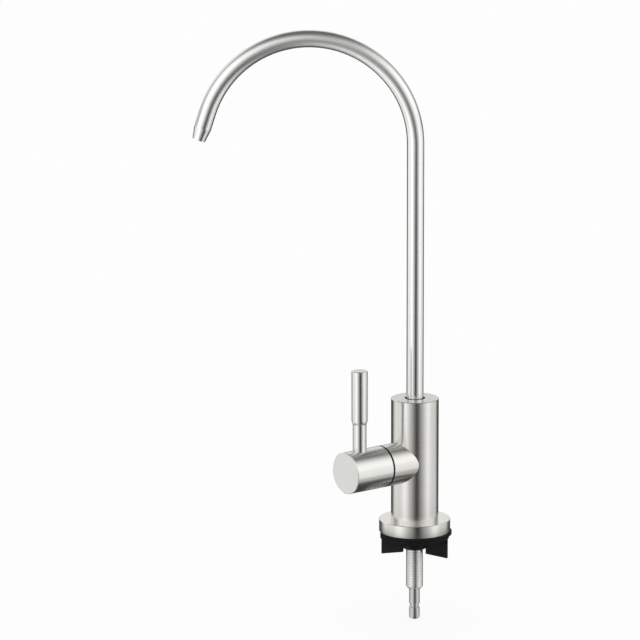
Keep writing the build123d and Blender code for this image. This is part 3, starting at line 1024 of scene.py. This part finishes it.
@dataclass
class DeckClamp:
    """What grips the deck: the flange and gasket above, the washer and wing nut below."""

    gasket_radius: float = 21.1 * MM
    gasket_hole_radius: float = 6.0 * MM
    gasket_thickness: float = 2.0 * MM
    gasket_offset: float = 0.85 * MM
    gasket_edge_radius: float = 0.35 * MM

    def gasket(self) -> bpy.types.Object:
        """Makes the rubber gasket, with the soft edges of a moulding.

        Returns:
            the gasket.
        """
        hole = self.gasket_hole_radius
        rim = self.gasket_radius
        top = self.gasket_thickness
        shifted = Axis((self.gasket_offset, 0.0, 0.0), UPRIGHT.direction)
        profile = [(hole, 0.0), (rim, 0.0), (rim, top), (hole, top)]
        bm = turned(profile, shifted, WIDE_TURN_STEPS, self.gasket_edge_radius)
        return finish_mesh(bm, "gasket_ring", "root", "deck_gasket")

    def build(self) -> None:
        """Builds and dresses the pieces."""
        dress([self.gasket()], RUBBER)
        dress(nodes("base_flange"), Steel(
            "stainless_brushed_round_the_flange", UPRIGHT, colour="#e0dfda", roughness=0.19
        ))
        dress(nodes("clamp_washer", "wing_nut"), NYLON)


@dataclass
class InletShank:
    """The threaded shank under the deck and the inlet stub in its end."""

    thread_pitch: float = 1.0 * MM
    crest_radius: float = 4.99 * MM
    root_radius: float = 4.8 * MM
    crest_share: float = 0.7
    root_share: float = 0.1
    low: float = -33.3 * MM
    high: float = 20.4 * MM
    end_chamfer: float = 1.1 * MM
    end_radius: float = 4.0 * MM
    bore_radius: float = 2.5 * MM
    counterbore_radius: float = 3.205 * MM
    counterbore_depth: float = 8.0 * MM
    steps_per_turn: int = 48
    spare_turns: int = 2
    turn_weld: float = 0.002 * MM
    cut_tolerance: float = 0.0001 * MM

    def thread(self) -> bpy.types.Object:
        """Makes the shank with its real screw thread, chamfered at both ends and bored through.

        Returns:
            the shank.
        """
        bm = bmesh.new()
        pitch = self.thread_pitch
        flank = (1 - self.crest_share - self.root_share) / 2 * pitch
        crest_length = self.crest_share * pitch
        heights = (0.0, flank, flank + crest_length, 2 * flank + crest_length, pitch)
        radii = (self.root_radius, self.crest_radius, self.crest_radius, self.root_radius, self.root_radius)
        start = self.low - self.spare_turns * pitch
        corners = [bm.verts.new((radius, 0.0, start + rise)) for radius, rise in zip(radii, heights)]
        edges = [bm.edges.new(pair) for pair in zip(corners, corners[1:])]
        bmesh.ops.spin(
            bm,
            geom=corners + edges,
            cent=(0, 0, 0),
            axis=(0, 0, 1),
            dvec=(0, 0, pitch / self.steps_per_turn),
            angle=math.tau,
            steps=self.steps_per_turn,
            use_merge=False,
        )
        turn = bm.verts[:] + bm.edges[:] + bm.faces[:]
        for index in range(1, math.ceil((self.high - self.low) / pitch) + 2 * self.spare_turns):
            copy = bmesh.ops.duplicate(bm, geom=turn)["geom"]
            raised = [item for item in copy if isinstance(item, bmesh.types.BMVert)]
            bmesh.ops.translate(bm, verts=raised, vec=(0, 0, index * pitch))
        bmesh.ops.remove_doubles(bm, verts=bm.verts, dist=self.turn_weld)
        lowest = self.cut_end(bm, self.low + self.end_chamfer, -1)
        highest = self.cut_end(bm, self.high - self.end_chamfer, 1)
        step = self.low + self.counterbore_depth
        inside = self.draw(bm, lowest, [
            (self.end_radius, self.low),
            (self.counterbore_radius, self.low),
            (self.counterbore_radius, step),
            (self.bore_radius, step),
        ])
        outside = self.draw(bm, highest, [(self.end_radius, self.high), (self.bore_radius, self.high)])
        bmesh.ops.bridge_loops(bm, edges=inside + outside)
        return finish_mesh(bm, "shank_with_thread", "root", "threaded_shank")

    def cut_end(self, bm: bmesh.types.BMesh, height: float, side: int) -> list[bmesh.types.BMEdge]:
        """Cuts the thread off square.

        Args:
            bm: the thread's mesh.
            height: where it is cut.
            side: 1 to drop what is above, -1 to drop what is below.

        Returns:
            the edges of the cut.
        """
        cut = bmesh.ops.bisect_plane(
            bm,
            geom=bm.verts[:] + bm.edges[:] + bm.faces[:],
            dist=self.cut_tolerance,
            plane_co=(0, 0, height),
            plane_no=(0, 0, side),
            clear_outer=True,
        )
        return [item for item in cut["geom_cut"] if isinstance(item, bmesh.types.BMEdge)]

    def draw(
        self, bm: bmesh.types.BMesh, loop: list[bmesh.types.BMEdge], rings: list[tuple[float, float]]
    ) -> list[bmesh.types.BMEdge]:
        """Draws a loop of edges on through a row of circles.

        Args:
            bm: the mesh.
            loop: the loop that is drawn on.
            rings: each circle's radius and height.

        Returns:
            the last circle's edges.
        """
        for radius, height in rings:
            grown = bmesh.ops.extrude_edge_only(bm, edges=loop)["geom"]
            for corner in (item for item in grown if isinstance(item, bmesh.types.BMVert)):
                stretch = radius / math.hypot(corner.co.x, corner.co.y)
                corner.co = (corner.co.x * stretch, corner.co.y * stretch, height)
            loop = [item for item in grown if isinstance(item, bmesh.types.BMEdge)]
        return loop

    def build(self) -> None:
        """Builds and dresses the pieces."""
        dress([self.thread()], Steel(
            "stainless_thread_cut", UPRIGHT, colour="#e5e4e0", roughness=0.24, stretch=0.3
        ))
        dress(nodes("inlet_stub"), Steel("stainless_turned_stub", UPRIGHT, colour="#dbdad7", roughness=0.2))
        dress(nodes("shank_seal"), RUBBER)


@dataclass
class Cartridge:
    """The quarter-turn ceramic valve inside the branch and the handle cap."""

    ceramic_grain: float = 0.8 * MM
    ceramic_grain_depth: float = 0.001 * MM

    def build(self) -> None:
        """Dresses the pieces."""
        brass = PlainMetal("brass_machined", "#d9b566", roughness=0.3)
        ceramic = Moulding(
            "alumina_lapped",
            "#ece9e0",
            "#f6f4ee",
            roughness=0.22,
            grain=self.ceramic_grain,
            grain_depth=self.ceramic_grain_depth,
            gloss=0.6,
        )
        dress(nodes("cartridge_housing", "gland_nut", "valve_spindle"), brass)
        dress(nodes("fixed_ceramic_disc", "moving_ceramic_disc"), ceramic)
        dress(nodes("cartridge_body_seal", "cartridge_seat_seal", "spindle_seal"), RUBBER)
        dress(nodes("spindle_circlip"), PlainMetal("spring_steel_stamped", "#8d8f92", roughness=0.34))


@dataclass
class Handle:
    """The cap that turns on the branch, its grub screw, and the lever that stands on it."""

    lever_place: float = 41.5 * MM
    grip_foot: float = 27.9 * MM
    grip_top: float = 59.6 * MM
    grip_radius: float = 4.7 * MM
    grip_top_break: float = 0.3 * MM
    taper_length: float = 2.2 * MM
    taper_depth: float = 0.5 * MM
    taper_steps: int = 5
    groove_radius: float = 3.1 * MM
    groove_height: float = 0.5 * MM
    stud_hole_radius: float = 2.53 * MM
    stud_hole_top: float = 37.0 * MM
    grip_edge_radius: float = 0.04 * MM

    def lever(self) -> Axis:
        """The lever's axis, upright on the cap, from the height of the valve."""
        out = self.lever_place
        return Axis((VALVE_DIRECTION[0] * out, VALVE_DIRECTION[1] * out, VALVE_HEIGHT), UPRIGHT.direction)

    def grip(self) -> bpy.types.Object:
        """Makes the grip, bored for its stud, and rounded in at its foot above a narrow groove.

        Returns:
            the grip.
        """
        lip = self.grip_foot + self.groove_height
        shares = [step / self.taper_steps for step in range(self.taper_steps + 1)]
        taper = [
            (self.grip_radius - self.taper_depth * (1 - share) ** 2, lip + self.taper_length * share)
            for share in shares
        ]
        profile = [
            (self.stud_hole_radius, self.grip_foot),
            (self.groove_radius, self.grip_foot),
            (self.groove_radius, lip),
            *taper,
            (self.grip_radius, self.grip_top - self.grip_top_break),
            (self.grip_radius - self.grip_top_break, self.grip_top),
            (0.0, self.grip_top),
            (0.0, self.stud_hole_top),
            (self.stud_hole_radius, self.stud_hole_top),
        ]
        bm = turned(profile, self.lever(), NARROW_TURN_STEPS, self.grip_edge_radius)
        return finish_mesh(bm, "grip_with_groove", "handle", "lever_grip")

    def build(self) -> None:
        """Builds and dresses the pieces."""
        cap_steel = Steel("stainless_brushed_round_the_cap", VALVE, colour="#cececa", roughness=0.22)
        lever_steel = Steel("stainless_turned_lever", self.lever(), colour="#d5d4d1", roughness=0.18)
        dress(nodes("handle_cap"), cap_steel)
        dress([*nodes("lever_stem"), self.grip()], lever_steel)
        dress(nodes("cap_grub_screw"), PlainMetal("stainless_grub_screw", "#b9b8b4", roughness=0.35))


@dataclass
class Gooseneck:
    """The swivelling spout: the bent tube, its end fitting, seals and rings."""

    bend_centre: tuple[float, float, float] = (-61.5 * MM, 0.0, 232.8 * MM)
    bend_radius: float = 61.5 * MM
    wiper_foot: float = 81.2 * MM
    wiper_inner_radius: float = 5.03 * MM
    wiper_radius: float = 6.0 * MM
    wiper_inner_height: float = 0.5 * MM
    wiper_height: float = 0.3 * MM
    wiper_edge_radius: float = 0.04 * MM

    def wiper(self) -> bpy.types.Object:
        """Makes the wiper ring in the socket's mouth, with a lip that rises towards the tube.

        Returns:
            the ring.
        """
        profile = [
            (self.wiper_inner_radius, self.wiper_foot),
            (self.wiper_radius, self.wiper_foot),
            (self.wiper_radius, self.wiper_foot + self.wiper_height),
            (self.wiper_inner_radius, self.wiper_foot + self.wiper_inner_height),
        ]
        bm = turned(profile, UPRIGHT, NARROW_TURN_STEPS, self.wiper_edge_radius)
        return finish_mesh(bm, "wiper_ring_with_lip", "spout", "spout_wiper_ring")

    def build(self) -> None:
        """Builds and dresses the pieces."""
        dress(nodes("spout_tube"), Steel(
            "stainless_brushed_round_the_tube",
            UPRIGHT,
            colour="#d9d9d7",
            roughness=0.18,
            lay=Lay.ROUND_THE_BEND,
            bend_centre=self.bend_centre,
            bend_radius=self.bend_radius,
            bend_roughness=0.12,
        ))
        dress(nodes("spout_end_fitting"), Steel("stainless_turned_fitting", UPRIGHT, roughness=0.26))
        dress([*nodes("upper_spout_seal", "lower_spout_seal"), self.wiper()], RUBBER)
        dress(nodes("spout_retaining_ring"), PlainMetal("spring_steel_ring", "#8d8f92", roughness=0.34))


def main() -> None:
    """Builds the studio and the tap's sub-assemblies in order."""
    logging.basicConfig(level=logging.INFO, format="%(message)s")
    bpy.context.scene.view_settings.view_transform = "Standard"
    Studio().build()
    for assembly in (TapBody(), DeckClamp(), InletShank(), Cartridge(), Handle(), Gooseneck()):
        assembly.build()


if __name__ == "__main__":
    main()
